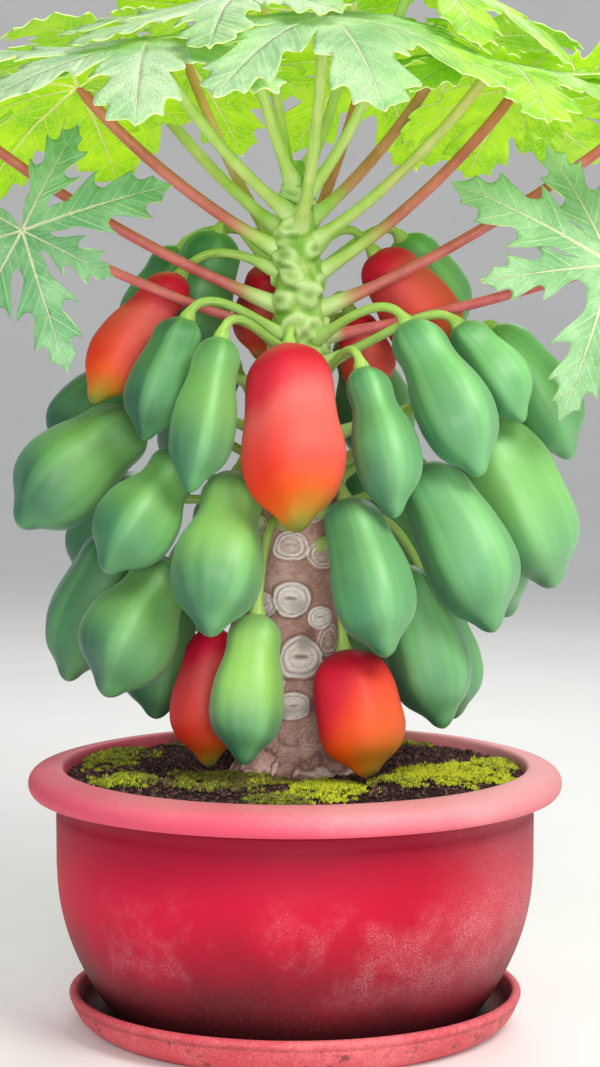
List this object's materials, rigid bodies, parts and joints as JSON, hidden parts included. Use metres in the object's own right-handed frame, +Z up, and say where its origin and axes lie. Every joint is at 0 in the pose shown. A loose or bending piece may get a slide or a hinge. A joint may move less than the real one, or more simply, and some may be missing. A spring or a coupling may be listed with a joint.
{
  "type": "potted papaya tree",
  "caption": "Dwarf papaya tree with fruits crowded round its trunk and a crown of large lobed leaves, in a wide red bowl pot standing in its saucer.",
  "frame": {"origin": "centre of the saucer's flat underside", "axes": "+Z up along the trunk, -Y towards the side seen in the picture, +X to the right as seen from there"},
  "size_m": [0.9127, 0.6729, 1.0277],
  "materials": {
    "pot_clay": "matt red clay, dusty and darker towards the foot",
    "saucer_clay": "matt red clay, dusty",
    "soil": "dark crumbly potting soil with patches of moss",
    "bark": "grey-brown bark with pale leaf scars, green near the top",
    "leaf": "satin green blade with pale ribs on a red to green petiole",
    "green_fruit": "satin blue-green skin with a pale bloom",
    "ripe_fruit": "satin skin, red shading to orange at the tip"
  },
  "bodies": {
    "root": {"fruit_back_low_left": "ripe_fruit", "fruit_back_low_right": "green_fruit", "fruit_back_middle": "green_fruit", "fruit_back_middle_left": "green_fruit", "fruit_back_middle_right": "green_fruit", "fruit_back_upper": "ripe_fruit", "fruit_back_upper_left": "green_fruit", "fruit_back_upper_right": "green_fruit", "fruit_front_left": "green_fruit", "fruit_front_right": "green_fruit", "fruit_front_ripe": "ripe_fruit", "fruit_left_back_low": "green_fruit", "fruit_left_back_middle": "green_fruit", "fruit_left_inner_ripe": "ripe_fruit", "fruit_left_large": "green_fruit", "fruit_left_low": "green_fruit", "fruit_left_low_outer": "green_fruit", "fruit_left_middle": "green_fruit", "fruit_left_shoulder": "green_fruit", "fruit_left_top": "green_fruit", "fruit_left_top_back": "green_fruit", "fruit_left_upper": "green_fruit", "fruit_left_upper_ripe": "ripe_fruit", "fruit_low_left": "green_fruit", "fruit_low_left_ripe": "ripe_fruit", "fruit_low_right_ripe": "ripe_fruit", "fruit_middle_left": "green_fruit", "fruit_middle_right": "green_fruit", "fruit_right_back_low": "green_fruit", "fruit_right_back_middle": "green_fruit", "fruit_right_inner_ripe": "ripe_fruit", "fruit_right_large": "green_fruit", "fruit_right_low": "green_fruit", "fruit_right_ribbed": "green_fruit", "fruit_right_shoulder": "green_fruit", "fruit_right_top": "green_fruit", "fruit_right_top_ripe": "ripe_fruit", "fruit_right_upper": "green_fruit", "fruit_upper_right": "green_fruit", "leaf_back": "leaf", "leaf_back_inner": "leaf", "leaf_back_left": "leaf", "leaf_back_right_inner": "leaf", "leaf_front": "leaf", "leaf_front_left": "leaf", "leaf_front_left_inner": "leaf", "leaf_front_right_inner": "leaf", "leaf_left_back": "leaf", "leaf_left_hanging": "leaf", "leaf_left_long": "leaf", "leaf_left_low": "leaf", "leaf_right_back": "leaf", "leaf_right_front": "leaf", "leaf_right_hanging": "leaf", "leaf_right_long": "leaf", "leaf_right_low": "leaf", "pot": "pot_clay", "saucer": "saucer_clay", "soil": "soil", "trunk": "bark"}
  },
  "joints": []
}
